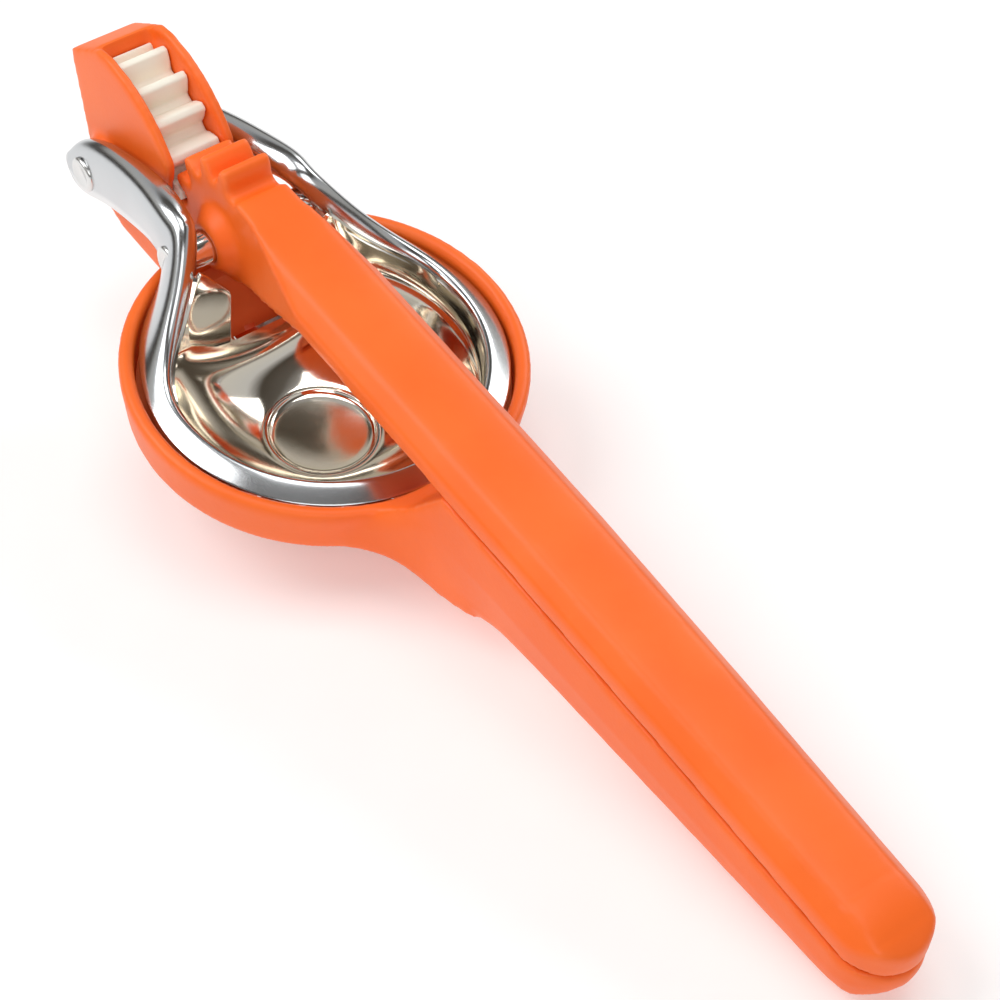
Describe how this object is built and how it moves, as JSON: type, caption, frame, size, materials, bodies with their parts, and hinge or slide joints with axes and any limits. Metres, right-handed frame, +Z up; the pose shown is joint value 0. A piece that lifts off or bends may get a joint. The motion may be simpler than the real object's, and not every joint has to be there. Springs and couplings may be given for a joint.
{
  "type": "citrus press juicer",
  "caption": "Hand citrus press with a toothed sector and hub that swing a polished steel cup into a slotted bowl between two long handles.",
  "frame": {"origin": "centre of the round foot's flat face under the strainer bowl, on the table", "axes": "+X towards the handle tips, +Y to the right-hand side seen from the gear end, +Z up from the table the closed press lies on"},
  "size_m": [0.3041, 0.1, 0.0872],
  "materials": {
    "nylon": "satin moulded nylon, orange",
    "cream_nylon": "satin moulded nylon, cream",
    "polished_steel": "mirror polished stainless sheet",
    "pin_steel": "satin turned pin",
    "screw_steel": "plain steel"
  },
  "bodies": {
    "base": {"lower_body": "nylon", "strainer_bowl": "nylon", "gear_rack": "cream_nylon", "rack_screws": "screw_steel", "main_sleeve": "screw_steel", "lower_handle_cover": "nylon", "lower_cover_screws": "screw_steel"},
    "press": {"press_yoke": "polished_steel", "press_cup": "polished_steel", "main_pin": "pin_steel", "main_pin_collar": "pin_steel", "main_washer_left": "cream_nylon", "main_washer_right": "cream_nylon", "hub_pin": "pin_steel", "hub_pin_collar": "pin_steel", "hub_washer_left": "cream_nylon", "hub_washer_right": "cream_nylon"},
    "handle": {"upper_handle": "nylon", "hub_sleeve": "screw_steel", "upper_handle_cover": "nylon", "upper_cover_screws": "screw_steel"}
  },
  "joints": [
    {"name": "press_swing", "type": "hinge", "parent": "base", "child": "press", "pos_m": [-0.08265, 0, 0.05297], "axis": [0, -1, 0], "range_deg": [0, 60]},
    {"name": "handle_swing", "type": "hinge", "parent": "press", "child": "handle", "pos_m": [-0.03465, 0, 0.05633], "axis": [0, -1, 0], "range_deg": [0, 90]}
  ],
  "couplings": [
    {"joint": "handle_swing", "follows": "press_swing", "ratio": 1.5}
  ]
}
